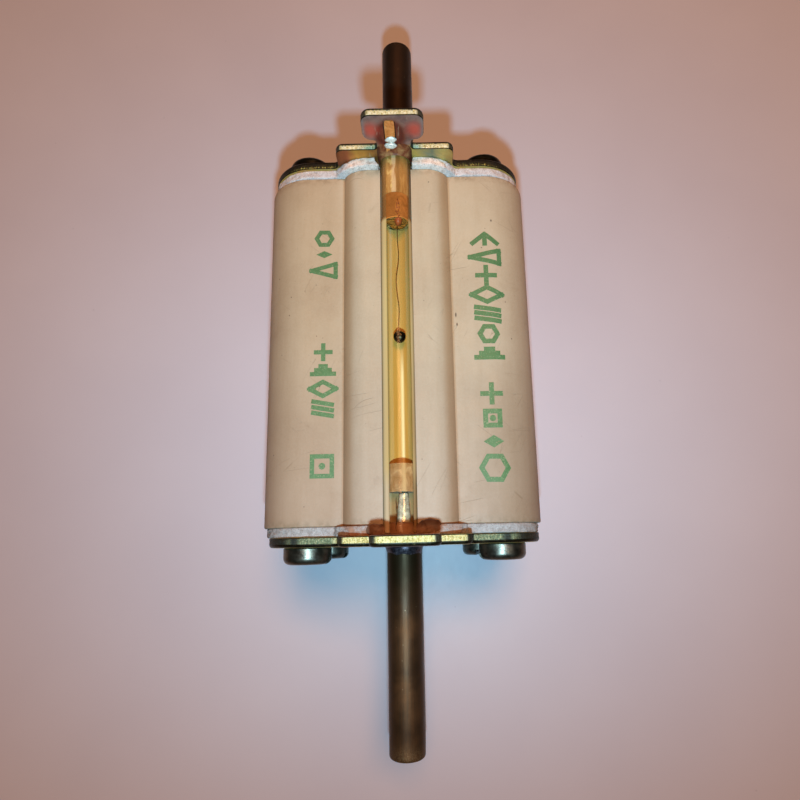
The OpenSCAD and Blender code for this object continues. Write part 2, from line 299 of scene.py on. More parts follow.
def ink_finish():
    s = Shade("printing_ink")
    patchy = s.noise(0.55, 4, 0.7)
    s.start(patchy, (0.25, 60, 96, 56), (0.55, 80, 112, 68), (0.8, 108, 126, 84))
    s.stain(s.remap(s.noise(0.28, 3, 0.7), 0.56, 0.72, 0, 0.8), 166, 150, 118)
    s.stain((s.remap(s.y, -24, 24, 0, 1), 0.3), 52, 108, 66)
    return s.finish(patchy, 0.45, 0.65, patchy, 0.012, Specular_IOR_Level=0.4)


def fibre_finish():
    s = Shade("fibre_sheet")
    weave = None
    for turn in ((0.3, 0.2, 0.6), (1.2, 0.5, -0.7), (0.1, 1.3, 1.5)):
        at = s.node("Mapping", {"Vector": s.mm, "Rotation": turn}).outputs[0]
        at = s.node("Mapping", {"Vector": at, "Scale": (1, 0.16, 1)}).outputs[0]
        hair = s.noise(0.14, 2, 0.6, at=at)
        weave = hair if weave is None else s.most(weave, hair)
    clump = s.noise(0.7, 4, 0.7)
    s.start(s.plus(s.times(weave, 0.6), s.times(clump, 0.4)),
            (0.36, 150, 122, 106), (0.47, 206, 178, 162), (0.6, 246, 220, 204))
    s.stain(s.remap(s.noise(0.3, 3, 0.7, at=s.stretched(0.3, 1, 0.3)), 0.56, 0.7, 0, 0.22), 136, 118, 102)
    low = s.remap(s.y, 0, -5)
    # Painted shade: the bottom gasket is darkened.
    s.shade(low, 0.45, 0.52, 0.58)
    s.shade((s.remap(s.side, 7.5, 9.5), s.remap(s.y, 0, 5)), 0.76, 0.84, 0.93)
    s.stain((s.remap(s.side, 6.0, 12.5, 1, 0), low, s.remap(s.noise(2.2, 4, 0.65), 0.34, 0.62), 0.85), 146, 92, 58)
    s.stain(s.remap(s.noise(0.5, 4, 0.7), 0.62, 0.74, 0, 0.35), 84, 70, 60)
    return s.finish(clump, 0.82, 0.97, s.plus(weave, s.times(clump, 0.8)), 0.16, Specular_IOR_Level=0.2)


def plate_finish():
    """Yellow passivated zinc on the flat faces, with its colour bands."""
    s = Shade("passivated_zinc")
    film = s.noise(3.4, 3, 0.55, warp=0.7)
    s.start(film, (0.24, 150, 92, 96), (0.36, 188, 132, 70), (0.47, 196, 176, 92),
            (0.57, 172, 176, 112), (0.68, 196, 170, 100), (0.8, 130, 118, 128))
    s.stain(0.45, 190, 168, 96)
    lug = s.remap(s.z, CROSSBAR_Z - 7.4, CROSSBAR_Z - 6.2)
    s.stain(lug, s.ramp(s.noise(1.3, 3), (0.3, 132, 104, 100), (0.6, 158, 130, 122)))
    # Painted reflection of the glass tube: an orange patch and a dark red ring around the window.
    window = (WINDOW[0] + WINDOW[1]) / 2
    s.stain((s.near(window, 0, 26.6, 2.0, 3.0, (1, 0, 0.72)), 0.88), 132, 62, 38)
    ring = s.minus(s.near(window, 0, 27.0, 1.9, 2.5, (1, 0, 0.75)),
                   s.near(window, 0, 27.0, 1.2, 1.8, (1, 0, 0.75)))
    s.stain((ring, 0.55), 92, 40, 44)
    for x in (-3.5, 3.4):
        s.stain((s.near(x, PLATE_IN, 28.0, 0.3, 2.1, (1, 0, 0.85)), 0.8), 220, 92, 76)
    s.stain((s.remap(s.side, 4.2, 4.9), lug, 0.75), 150, 146, 150)
    across = s.remap(s.x, -10, 10, 0, 1, False)
    band = s.ramp(s.plus(across, s.remap(film, 0.2, 0.8, -0.05, 0.05)), (0.0, 120, 50, 34),
                  (0.09, 172, 92, 62), (0.2, 206, 152, 68), (0.34, 150, 92, 44),
                  (0.68, 196, 172, 92), (0.8, 120, 136, 118), (0.9, 208, 190, 118),
                  (1.0, 180, 150, 88))
    s.stain((s.remap(s.z, PLATE_FRONT + 0.2, PLATE_FRONT + 1.0), s.minus(1.0, lug), 0.9), band)
    fine = s.noise(0.25, 4, 0.7)
    s.stain(s.remap(s.noise(0.7, 4, 0.7, at=s.stretched(1, 1, 0.2)), 0.6, 0.75, 0, 0.5), 196, 190, 170)
    return s.finish(fine, 0.26, 0.46, s.plus(s.times(fine, 0.5), s.noise(1.1, 3)), 0.02, Metallic=0.72)


def sheared_finish():
    """The broken grain along the stamped edges of a plate. It is bright where it faces the front and darkened, a
    painted shade, where its face turns away.
    """
    s = Shade("sheared_edge")
    grit = s.noise(0.22, 4, 0.75)
    tear = s.noise(0.5, 3, 0.7, at=s.stretched(1.6, 0.45, 1.6))
    grain = s.plus(s.times(grit, 0.6), s.times(tear, 0.4))
    gold = s.ramp(grain, (0.36, 104, 86, 40), (0.45, 216, 200, 132), (0.56, 255, 250, 214))
    green = s.ramp(grain, (0.36, 60, 74, 62), (0.5, 122, 142, 120), (0.62, 206, 216, 196))
    fleck = s.ramp(s.plus(grain, s.remap(s.along, PLATE_IN, PLATE_IN + 0.9, 0.05, -0.12)),
                   (0.42, 22, 18, 8), (0.52, 74, 66, 26), (0.6, 222, 206, 112))
    low = s.remap(s.y, 5, -5)
    s.base = s.mix(s.remap(s.side, 9.4, 10.8), gold, s.mix(low, fleck, green))
    # Painted shade: the edge is darkened where its face turns away from the front.
    facing = s.node("SeparateXYZ", {0: s.node("TexCoord").outputs["Normal"]}).outputs["Z"]
    s.stain(s.remap(facing, 0.86, 0.995, 0.95, 0), 26, 22, 12)
    # Painted shade: a dark band along the rolled rim of the outer face.
    rolled = s.plus(s.y, s.remap(grain, 0.3, 0.7, -0.35, 0.35))
    s.stain(s.remap(rolled, PLATE_OUT - 0.75, PLATE_OUT - 0.5, 0, 0.92), 30, 25, 13)
    # Painted shade: the edges of the bottom plate are darkened.
    s.shade(low, 0.70, 0.61, 0.42)
    s.stain((s.remap(s.side, 15.2, 16.4), s.remap(s.side, 17.4, 16.8), low), 40, 44, 34)
    return s.finish(grit, 0.34, 0.6, s.plus(grit, s.times(tear, 0.9)), 0.13, Metallic=0.35)


def screw_finish():
    s = Shade("screw_plating")
    haze = s.noise(1.4, 4, 0.6)
    s.start(haze, (0.3, 71, 68, 60), (0.55, 102, 98, 87), (0.75, 123, 117, 100))
    s.stain(s.remap(s.noise(0.6, 4, 0.7), 0.55, 0.7, 0, 0.6), 52, 50, 42)
    # Painted shade: the screws of the top end are darkened.
    s.stain(s.remap(s.y, 0, 10, 0, 0.8), 30, 27, 18)
    height = s.plus(s.noise(0.16, 3, 0.7), s.times(s.noise(0.09, 2, 0.5, at=s.stretched(0.15, 1, 0.15)), 0.6))
    return s.finish(haze, 0.26, 0.42, height, 0.012, Metallic=0.95)


def blade_finish():
    s = Shade("tarnished_blade")
    drawn = s.noise(0.2, 3, 0.65, at=s.stretched(1, 0.025, 1))
    haze = s.noise(5.0, 4, 0.6, warp=0.3)
    fine = s.noise(0.2, 4, 0.7)
    s.start(haze, (0.3, 70, 47, 29), (0.52, 88, 59, 35), (0.7, 102, 68, 40))
    s.stain(s.remap(drawn, 0.42, 0.7, 0, 0.4), 56, 48, 36)
    # Painted shade: the rounded sides of the blades are darkened, leaving a lighter middle.
    s.stain(s.remap(s.side, 0.9, 2.5, 0, 0.4), 48, 46, 38)
    s.stain((s.remap(s.along, BLADE_TIP - 3.2, BLADE_TIP - 0.2, 0, 0.4), s.remap(fine, 0.4, 0.6)), 150, 122, 84)
    # Painted shade: the top blade is darkened, as it reflects dark surroundings.
    s.stain(s.remap(s.y, 0, 20, 0, 0.78), 46, 34, 27)
    # Painted shadow of the plate and screws over the root of the bottom blade.
    root_shadow = s.times(s.remap(s.y, -50, -38, 0, 0.95), s.remap(s.y, -33, -34))
    s.stain(root_shadow, 26, 17, 7)
    s.stain((s.remap(s.cells(0.9), 0.05, 0.12, 1, 0), s.remap(s.noise(2.4, 2), 0.55, 0.6), 0.4), 176, 156, 124)
    height = s.plus(s.times(drawn, 0.7), fine)
    return s.done(s.surface(s.base, s.remap(haze, 0.25, 0.75, 0.38, 0.52), s.bump(height, 0.02),
                            Metallic=s.remap(root_shadow, 0, 0.95, 0.68, 0.3), Specular_IOR_Level=0.3,
                            Specular_Tint=s.mix(root_shadow, (1, 1, 1, 1), (1, 0.74, 0.46, 1))))


def metal_finish(name, size, detail, rough, shine, depth, metal, *stops):
    """Metal with one mottled pattern. shine is its lowest and highest roughness."""
    s = Shade(name)
    mark = s.noise(size, detail, rough)
    s.start(mark, *stops)
    return s.finish(mark, *shine, mark, depth, Metallic=metal)


def copper_finish():
    s = Shade("bare_copper")
    mark = s.noise(0.8, 4, 0.65)
    lines = s.noise(0.08, 2, 0.5, at=s.stretched(1, 1, 0.06))
    s.start(mark, (0.3, 196, 112, 52), (0.55, 238, 158, 86), (0.75, 250, 192, 124))
    return s.finish(mark, 0.24, 0.42, s.plus(lines, mark), 0.01, Metallic=0.6)


def sand_finish():
    s = Shade("quartz_sand")
    shade = s.noise(0.5, 2)
    s.start(shade, (0.3, 176, 158, 128), (0.55, 222, 208, 180), (0.75, 244, 238, 224))
    return s.finish(shade, 0.35, 0.8, s.cells(0.5), 0.3)


def honey(s):
    """Honey-coloured varnish of the indicator, streaked along the tube, with a painted highlight below the ball and
    painted shade towards the bottom.
    """
    flow = s.noise(1.0, 3, 0.6, at=s.stretched(1, 0.05, 1))
    # Across the tube the colour is partly the varnish's own and partly painted light and shade, standing in for the
    # shading of the round tube.
    across = s.plus(s.remap(s.x, -TUBE_R, TUBE_R, 0, 1, False), s.remap(flow, 0.2, 0.8, -0.012, 0.012))
    s.start(across, (0.0, 166, 136, 96), (0.08, 194, 164, 114), (0.17, 190, 158, 102),
            (0.25, 186, 153, 92), (0.42, 181, 145, 80), (0.52, 198, 163, 101),
            (0.62, 190, 153, 91), (0.75, 175, 138, 75), (0.88, 171, 132, 70),
            (1.0, 184, 152, 110))
    # Painted highlight: a pale streak right of the middle, below the ball.
    s.stain((s.remap(s.x, 0.1, 0.55), s.remap(s.x, 0.95, 0.6), s.remap(s.y, 0.0, -7.0), 0.8), 255, 248, 226)
    s.stain(s.remap(flow, 0.5, 0.75, 0, 0.25), 224, 198, 138)
    pale = s.times(s.remap(s.maths("ABSOLUTE", s.minus(s.x, CORE_X)), 1.75, 1.45), s.remap(s.y, -10, 9, 0.3, 1))
    s.shade(pale, 0.89, 1.0, 1.6)
    # Painted shade: the varnish is darkened towards the bottom.
    s.shade(s.remap(s.y, 6, -16), 0.9, 0.84, 0.86)
    return flow


def glass_finish():
    """Clear yellowish glass. Its sides and the half that lies in the groove show the varnish."""
    s = Shade("tube_glass")
    smear = s.noise(2.6, 4, 0.6, at=s.stretched(1, 0.2, 1))
    clear = s.mix(s.remap(smear, 0.4, 0.75, 0, 0.5), (0.995, 0.985, 0.95, 1), (0.985, 0.955, 0.88, 1))
    high = s.remap(s.y, PLUG[0].y - 0.5, PLUG[0].y + 0.5)
    level = s.bump(honey(s), 0.02, True)
    # Across the foot, the colour is partly the band's own and partly painted shade, darker towards the right edge.
    foot = s.ramp(s.remap(s.x, -TUBE_R, TUBE_R, 0, 1, False), (0.0, 158, 132, 100), (0.14, 188, 158, 124),
                  (0.26, 150, 116, 78), (0.7, 166, 134, 98), (0.9, 150, 114, 76), (1.0, 126, 96, 62))
    s.stain(s.remap(s.y, BAND[1].y, BAND[0].y), foot)
    s.stain(high, s.ramp(smear, (0.3, 150, 100, 50), (0.7, 168, 120, 70)))
    varnish = s.node("BsdfDiffuse", {"Color": s.base, "Roughness": 0.4, "Normal": level}).outputs[0]
    behind = s.remap(s.z, TUBE_Z - 0.5, TUBE_Z + 0.2, 0.95, 0)
    wall = s.times(s.plus(s.remap(s.x, -1.45, -1.65), s.remap(s.x, 2.02, 2.2)), s.minus(1.0, s.times(high, 0.75)))
    body = s.blend(s.most(behind, wall), s.node("BsdfTransparent", {"Color": clear}).outputs[0], varnish)
    wave = s.bump(s.noise(1.8, 3, at=s.stretched(1, 0.12, 1)), 0.03)
    shine = s.node("BsdfGlossy", {"Color": (1, 0.98, 0.94, 1), "Normal": wave,
                                  "Roughness": s.remap(smear, 0.3, 0.8, 0.12, 0.24)}).outputs[0]
    amount = s.remap(s.node("LayerWeight", {"Blend": 0.5}).outputs["Facing"], 0.3, 1.0, 0.006, 0.03)
    return s.done(s.blend(amount, body, shine))


def amber_finish():
    """Amber lining: clear in front, so that the ball shows, and full-bodied behind it."""
    s = Shade("amber_lining")
    flow = honey(s)
    body = s.surface(s.base, s.remap(flow, 0.2, 0.8, 0.4, 0.6), s.bump(flow, 0.02, True),
                     Specular_IOR_Level=0.03)
    haze = s.mix(s.remap(flow, 0.3, 0.8), (0.995, 0.97, 0.89, 1), (0.98, 0.94, 0.82, 1))
    behind = s.remap(s.z, TUBE_Z - 0.35, TUBE_Z + 0.35, 1, 0)
    wide = s.minus(s.x, CORE_X)
    deep = s.minus(s.z, TUBE_Z)
    behind = s.times(behind, s.remap(s.plus(s.times(wide, wide), s.times(deep, deep)), 1.6, 2.6))
    return s.done(s.blend(behind, s.node("BsdfTransparent", {"Color": haze}).outputs[0], body))


def wax_finish(name, dark, middle, light, depth=0.05, gloss=0.5, coat=0.25, level=False):
    """Resin or wax with cloudy depth, pits and a glossy skin."""
    s = Shade(name)
    cloud = s.noise(1.5, 5, 0.65, warp=0.8)
    pit = s.times(s.remap(s.cells(0.45), 0.06, 0.2, 1, 0), s.remap(s.noise(1.2, 2), 0.5, 0.58))
    s.start(cloud, (0.3, *dark), (0.52, *middle), (0.72, *light))
    s.stain((pit, 0.5), *dark)
    if level:
        # Painted highlight: a light streak right of the middle, stronger below the ball.
        s.stain((s.remap(s.x, 0.2, 0.7), s.remap(s.x, 1.2, 0.8), s.remap(s.y, 0, -7, 0.15, 0.8)), *light)
        # Painted shade: the sides of the plug and band are darkened.
        s.stain(s.plus(s.remap(s.x, 1.9, 2.25, 0, 0.8), s.remap(s.x, 0.2, -0.2, 0, 0.35)), *dark)
        # Painted light: the lower end of the top plug is lightened, where the lamps hardly reach it.
        s.stain((s.remap(s.y, PLUG[0].y + 0.2, PLUG[0].y + 0.08), s.remap(s.y, 0, 1)), 206, 128, 60)
    height = s.minus(cloud, s.times(pit, 0.5))
    return s.finish(cloud, 0.22, 0.45, height, depth, level, Specular_IOR_Level=gloss,
                    Coat_Weight=coat, Coat_Roughness=0.15)


def resin_finish(name, dark, middle, light):
    """Dried sealing resin: dark where it is thick at the sides, orange in the middle."""
    s = Shade(name)
    cloud = s.noise(1.7, 5, 0.65, warp=0.6)
    s.start(cloud, (0.28, *dark), (0.48, *middle), (0.72, *light))
    inner = s.times(s.remap(s.side, 2.6, 2.2), s.remap(s.y, 5, -5))
    s.stain((inner, 0.8), s.ramp(cloud, (0.3, 136, 92, 64), (0.7, 178, 132, 100)))
    s.stain((s.remap(s.side, 1.9, 2.9), s.remap(s.y, -5, 5), 0.85), *dark)
    s.stain((s.remap(s.x, 2.7, 3.4), s.remap(s.y, -BODY_END - 0.7, -BODY_END + 0.2), 0.75), *dark)
    return s.finish(cloud, 0.35, 0.6, s.plus(cloud, s.times(s.noise(0.4, 3), 0.3)), 0.07, Specular_IOR_Level=0.2)


def film_finish():
    """Golden varnish left inside the empty top of the tube, with a pale painted highlight, broken into runs, down its
    middle.
    """
    s = Shade("varnish_film")
    run = s.noise(0.9, 4, 0.65, at=s.stretched(1, 0.22, 1), warp=0.5)
    s.start(run, (0.3, 148, 98, 48), (0.48, 168, 118, 62), (0.66, 188, 140, 82))
    # Painted highlight down the middle of the film.
    s.stain((s.remap(s.x, -0.75, -0.4), s.remap(s.x, 0.3, 0.0), s.remap(run, 0.34, 0.54), 0.5), 226, 196, 160)
    s.stain((s.remap(s.x, 0.1, 0.35), s.remap(s.x, 1.0, 0.6), 0.7), 132, 90, 46)
    runs = s.remap(s.noise(0.7, 3, at=s.stretched(1, 0.5, 1)), 0.5, 0.62)
    s.stain((s.remap(s.x, -1.6, -1.1), s.remap(s.x, -0.2, -0.7), runs, 0.6), 226, 192, 124)
    return s.finish(run, 0.3, 0.55, run, 0.06, True, Specular_IOR_Level=0.3)


def floor_finish():
    s = Shade("pale_table")
    fine = s.noise(1.2, 3, 0.6)
    s.start(s.noise(60, 4, 0.5), (0.3, 196, 191, 201), (0.7, 204, 199, 208))
    s.stain((s.remap(s.cells(9), 0.012, 0.03, 1, 0), 0.25), 150, 146, 160)
    return s.finish(fine, 0.46, 0.56, fine, 0.01, Specular_IOR_Level=0.35)


FINISH = {
    "ceramic": ceramic_finish(),
    "ink": ink_finish(),
    "fibre": fibre_finish(),
    "plate": plate_finish(),
    "sheared": sheared_finish(),
    # Painted shade: the rolled rim faces are given a dark colour, as they show dark against the light.
    "rolled": metal_finish("rolled_rim", 0.5, 4, 0.65, (0.3, 0.5), 0.03, 0.8,
                           (0.3, 18, 15, 9), (0.6, 46, 38, 22), (0.8, 120, 104, 58)),
    "screw": screw_finish(),
    "blade": blade_finish(),
    "braze": metal_finish("braze_scale", 0.7, 5, 0.7, (0.22, 0.5), 0.06, 0.8,
                          (0.3, 36, 30, 36), (0.55, 74, 66, 74), (0.75, 122, 110, 114)),
    "copper": copper_finish(),
    "sand": sand_finish(),
    "glass": glass_finish(),
    "amber": amber_finish(),
    "ball": metal_finish("ball_steel_finish", 0.4, 4, 0.7, (0.24, 0.46), 0.03, 0.9,
                         (0.3, 24, 21, 18), (0.58, 52, 48, 44), (0.8, 132, 130, 124)),
    "wire": metal_finish("resistance_wire", 0.5, 3, 0.6, (0.3, 0.5), 0.01, 0.7,
                         (0.3, 46, 30, 16), (0.6, 96, 70, 40), (0.8, 150, 118, 72)),
    "plug": wax_finish("plug_resin_finish", (128, 78, 34), (156, 92, 42), (176, 110, 54),
                       0.03, 0.1, 0.0, True),
    "knot": wax_finish("tarred_knot", (60, 16, 8), (104, 34, 18), (150, 70, 44)),
    "wax": wax_finish("red_wax", (120, 50, 24), (158, 78, 44), (186, 104, 68), 0.04, 0.3, 0.05),
    "band": wax_finish("brown_band", (126, 86, 48), (142, 101, 60), (184, 142, 96),
                       0.03, 0.2, 0.0, True),
    "film": film_finish(),
    "tin": metal_finish("tinned_cone", 0.6, 4, 0.65, (0.16, 0.36), 0.04, 0.25,
                        (0.32, 150, 136, 116), (0.6, 206, 194, 172), (0.8, 244, 242, 240)),
    "solder": metal_finish("solder_joint", 0.6, 4, 0.65, (0.16, 0.36), 0.04, 0.2,
                           (0.32, 196, 180, 166), (0.6, 250, 232, 214), (0.8, 244, 242, 240)),
    "top_resin": resin_finish("top_resin_finish", (60, 22, 12), (128, 62, 36), (196, 134, 82)),
    "foot_resin": resin_finish("foot_resin_finish", (64, 38, 28), (114, 80, 62), (144, 106, 86)),
}


# Mesh helpers
def put(name, data):
    """A new object in the scene."""
    made = bpy.data.objects.new(name, data)
    bpy.context.scene.collection.objects.link(made)
    return made


def add(name, shape, finishes, replaced="", body="fuse", angle=60, pick=None):
    """A shape (points, faces) in millimetres about the blade mid-plane, made a piece that rides on a body.
    finishes names its materials, and pick chooses one of them for a face."""
    mesh = bpy.data.meshes.new(name)
    mesh.from_pydata([(x * MM, y * MM, z * MM + AXIS_Z) for x, y, z in shape[0]], [], shape[1])
    for finish in finishes.split():
        mesh.materials.append(FINISH[finish])
    bm = bmesh.new()
    bm.from_mesh(mesh)
    bmesh.ops.remove_doubles(bm, verts=bm.verts, dist=0.002 * MM)
    bmesh.ops.recalc_face_normals(bm, faces=bm.faces)
    bm.normal_update()
    if pick:
        for face in bm.faces:
            face.material_index = pick(face)
    bm.to_mesh(mesh)
    bm.free()
    mesh.shade_smooth()
    mesh.set_sharp_from_angle(angle=math.radians(angle))
    piece = put(name, mesh)
    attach(piece, body)
    if replaced:
        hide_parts(replaced)
    return piece


def bake(piece):
    """Makes the modifiers of a piece part of its mesh."""
    bpy.context.view_layer.update()
    evaluated = piece.evaluated_get(bpy.context.evaluated_depsgraph_get())
    result = bpy.data.meshes.new_from_object(evaluated)
    piece.modifiers.clear()
    piece.data = result
    piece.data.shade_smooth()


def arc(cx, cz, radius, start, end, steps):
    """Points on a circle from one angle to another, in degrees."""
    return [(cx + radius * math.cos(math.radians(a)), cz + radius * math.sin(math.radians(a)))
            for a in (start + (end - start) * i / steps for i in range(steps + 1))]


def around(steps):
    """Evenly spaced angles that go once round."""
    return [2 * math.pi * k / steps for k in range(steps)]


def split_path(path, step):
    """A path with its long sides split into lengths of at most step. Its last point is left out."""
    out = []
    for (ax, az), (bx, bz) in zip(path, path[1:]):
        parts = max(1, math.ceil(math.hypot(bx - ax, bz - az) / step))
        out += [(ax + (bx - ax) * i / parts, az + (bz - az) * i / parts) for i in range(parts)]
    return out


def section(half, notch, step):
    """Closed anticlockwise outline that is symmetric about x = 0, without points on top of each other."""
    out = []
    for p in half[::-1] + notch + [(-x, z) for x, z in half]:
        if not out or math.dist(p, out[-1]) > 1e-4:
            out.append(p)
    return split_path(out + out[:1], step)


def inset(points, depth):
    """A closed anticlockwise outline moved inwards."""
    out = []
    for i, (x, z) in enumerate(points):
        (px, pz), (nx, nz) = points[i - 1], points[(i + 1) % len(points)]
        a, b = Vector((x - px, z - pz)).normalized(), Vector((nx - x, nz - z)).normalized()
        normal = Vector((-(a + b).y, (a + b).x))
        if normal.length < 1e-6:
            normal = Vector((-a.y, a.x))
        normal.normalize()
        turn = max(0.5, normal.dot(Vector((-a.y, a.x))))
        out.append((x + normal.x * depth / turn, z + normal.y * depth / turn))
    return out


def circle(cx, cz, radius, steps):
    return arc(cx, cz, radius, 0, 360 * (1 - 1 / steps), steps - 1)


def stadium(thickness, width, steps=14, sides=1):
    """Flat bar section with round edges, its width along z and its flats split into sides."""
    r, reach = thickness / 2, (width - thickness) / 2
    cuts = [reach * (1 - 2 * k / sides) for k in range(1, sides)]
    return (arc(0, reach, r, 0, 180, steps) + [(-r, z) for z in cuts]
            + arc(0, -reach, r, 180, 360, steps) + [(r, -z) for z in cuts])


def skin(rings, ends="capped"):
    """Shape through rings of equal length, whose ends are capped, left open, or joined to each other."""
    size, count = len(rings[0]), len(rings)
    faces = []
    for k in range(count - (ends != "joined")):
        here, there = k * size, (k + 1) % count * size
        faces += [(here + i, here + (i + 1) % size, there + (i + 1) % size, there + i) for i in range(size)]
    if ends == "capped":
        faces += [tuple(range(size)), tuple(range((count - 1) * size, count * size))]
    return [p for ring in rings for p in ring], faces


def joined(*shapes):
    """Several shapes as one."""
    points, faces = [], []
    for more, their in shapes:
        faces += [tuple(len(points) + i for i in face) for face in their]
        points += more
    return points, faces


def slab(outline, levels, holes=(), shake=None):
    """Solid whose outline lies in the x-z plane. levels is (y, inset) from one face to the other, and
    holes open through it with a rounded lip. shake moves a side point: shake(x, y, z) -> (x, y, z)."""
    shapes = []
    for loop, sign in [(outline, 1)] + [(hole, -1) for hole in holes]:
        rings = [[(x, y, z) for x, z in inset(loop, sign * depth)] for y, depth in levels]
        if shake and sign > 0:
            rings = [[shake(*p) for p in ring] for ring in rings]
        shapes.append(skin(rings, "open"))
    points, faces = joined(*shapes)
    bm = bmesh.new()
    verts = [bm.verts.new(p) for p in points]
    bm.verts.ensure_lookup_table()
    for face in faces:
        bm.faces.new([verts[i] for i in face])
    for level in (0, len(levels) - 1):
        edges, start = [], 0
        for loop in (outline, *holes):
            size = len(loop)
            ring = verts[start + level * size:start + (level + 1) * size]
            edges += [bm.edges.get((ring[i], ring[(i + 1) % size])) for i in range(size)]
            start += size * len(levels)
        bmesh.ops.triangle_fill(bm, edges=edges, use_beauty=True, use_dissolve=False)
    bm.verts.index_update()
    shape = [tuple(v.co) for v in bm.verts], [tuple(v.index for v in f.verts) for f in bm.faces]
    bm.free()
    return shape


def tube(outer, inner, low, high, lip, x, steps=56):
    """Tube along y with fire-polished rims, about the tube axis moved to x."""
    middle, half = (outer + inner) / 2, (outer - inner) / 2
    bends = [(math.cos(math.radians(a)), math.sin(math.radians(a))) for a in range(0, 181, 30)]
    profile = [(middle + half * c, high - lip + lip * s) for c, s in bends]
    profile += [(middle - half * c, low + lip - lip * s) for c, s in bends]
    return skin([[(x + r * math.cos(a), y, TUBE_Z + r * math.sin(a)) for r, y in profile] for a in around(steps)],
                "joined")


def at_end(shape, side, angle=0.0):
    """A shape made for the top end, moved to the end on that side (1 or -1) and turned about the fuse axis."""
    c, s = math.cos(angle), math.sin(angle)
    return [(x * c + z * s, side * y, z * c - x * s) for x, y, z in shape[0]], shape[1]


def flow(point, size, seed):
    """Smooth repeatable noise from -1 to 1."""
    return noise.noise(Vector(point) / size + Vector((seed * 17.3, seed * 5.1, seed * 9.7)))


def sweep(path, radius, steps=8, taper=None):
    """Round bar along a path of points."""
    rings = []
    for i, point in enumerate(path):
        ahead, behind = Vector(path[min(i + 1, len(path) - 1)]), Vector(path[max(i - 1, 0)])
        along = (ahead - behind).normalized()
        side = along.cross(Vector((0.31, 0.17, 0.93))).normalized()
        up = side.cross(along)
        r = radius * (taper(i / (len(path) - 1)) if taper else 1)
        rings.append([tuple(Vector(point) + r * (side * math.cos(a) + up * math.sin(a))) for a in around(steps)])
    return skin(rings)


def lump(centre, radii, rings=18, steps=28, rough=0.06, size=1.2, seed=1, cut=None):
    """A rounded lump with an uneven skin. cut(x, y, z) may move its points."""
    loops = []
    for p in (math.pi * i / rings for i in range(rings + 1)):
        loop = []
        for q in around(steps):
            d = Vector((math.sin(p) * math.cos(q), math.cos(p), math.sin(p) * math.sin(q)))
            far = d * max(radii)
            r = 1 + rough * flow(far, size, seed) + rough * 0.5 * flow(far, size * 0.4, seed + 3)
            point = tuple(centre[k] + radii[k] * r * d[k] for k in range(3))
            loop.append(cut(*point) if cut else point)
        loops.append(loop)
    return skin(loops, "open")


# Ceramic body
def body_outline():
    """Anticlockwise section of the ceramic, seen with x to the right and z up."""
    foot = math.degrees(math.asin((LOBE_Z - (RIB_Z - RIB_ROUND)) / RIB_ROUND))
    half = [(GROOVE, RIB_Z)] + arc(RIB_FLAT, RIB_Z - RIB_ROUND, RIB_ROUND, 90, foot, 14)
    half += arc(HALF_WIDTH - CORNER, LOBE_Z - CORNER, CORNER, 90, 0, 22)
    half += arc(HALF_WIDTH - CORNER, CORNER - LOBE_Z, CORNER, 0, -90, 22)
    return section(half, arc(0, TUBE_Z, GROOVE, 360, 180, 20), 1.1)


def body_levels(lip, steps):
    """(y, inset) along the body with a rounded lip at both ends and even rings between."""
    rise = [(lip * (1 - math.cos(math.radians(30 * k))) - BODY_END, lip * (1 - math.sin(math.radians(30 * k))))
            for k in range(4)]
    middle = [((lip - BODY_END) * (1 - 2 * i / steps), 0.0) for i in range(1, steps)]
    return rise + middle + [(-y, depth) for y, depth in rise[::-1]]


def kiln(x, y, z):
    """The slight unevenness of a fired surface."""
    d = abs(0.035 * flow((x, y * 0.4, z), 7.0, 2))
    r = math.hypot(x, z)
    if max(abs(x) / HALF_WIDTH, abs(z) / LOBE_Z) <= 0.35 or r <= TUBE_R + RIB_Z - 6:
        return x, y, z
    return x - d * x / r, y, z - d * z / r


chamber = arc(4.5, 0, 12.5, -90, 90, 30) + arc(-4.5, 0, 12.5, 90, 270, 30)
add("porcelain_body", slab(body_outline(), body_levels(0.28, 44), [chamber], kiln), "ceramic",
    "ceramic_body", angle=28)


# End plates, gaskets and screws
def plate_outline():
    """Anticlockwise section of an end plate, with small fillets where its steps meet."""
    top, rear = CROSSBAR_Z, 25.7
    half = arc(3.45, top - 1.5, 1.5, 90, 0, 6) + arc(3.45, rear + 1.5, 1.5, 0, -78, 6)
    half += arc(3.45, rear - 0.6, 0.6, 100, 180, 4) + [(2.85, 24.1)] + arc(3.45, 24.1, 0.6, 180, 270, 4)
    half += arc(8.7, 22.2, 1.3, 90, 0, 6)
    half += arc(10.9, PLATE_FRONT + 0.9, 0.9, 180, 270, 5)
    half += arc(PLATE_HALF - 7.5, PLATE_FRONT - 7.5, 7.5, 90, 0, 18)
    half += arc(PLATE_HALF - 7.5, 7.5 - PLATE_REAR, 7.5, 0, -90, 18)
    outline = half[::-1] + [(-x, z) for x, z in half]
    return split_path(outline + outline[:1], 0.8)


def window_outline():
    low_x, high_x, low, high = WINDOW
    return (arc(high_x - 0.35, low + 0.35, 0.35, -90, 0, 4) + arc(high_x - 0.7, high - 0.7, 0.7, 0, 90, 6)
            + arc(low_x + 0.7, high - 0.7, 0.7, 90, 180, 6) + arc(low_x + 0.35, low + 0.35, 0.35, 180, 270, 4))


def stamped(x, y, z):
    """The torn grain of a stamped edge."""
    r = math.hypot(x, z)
    d = 0.05 * flow((x, y, z), 0.55, 4) * min(1.0, max(0.0, (PLATE_OUT - 0.45 - y) / 0.3))
    return x + d * x / r, y, z + min(0.0, d * z / r)


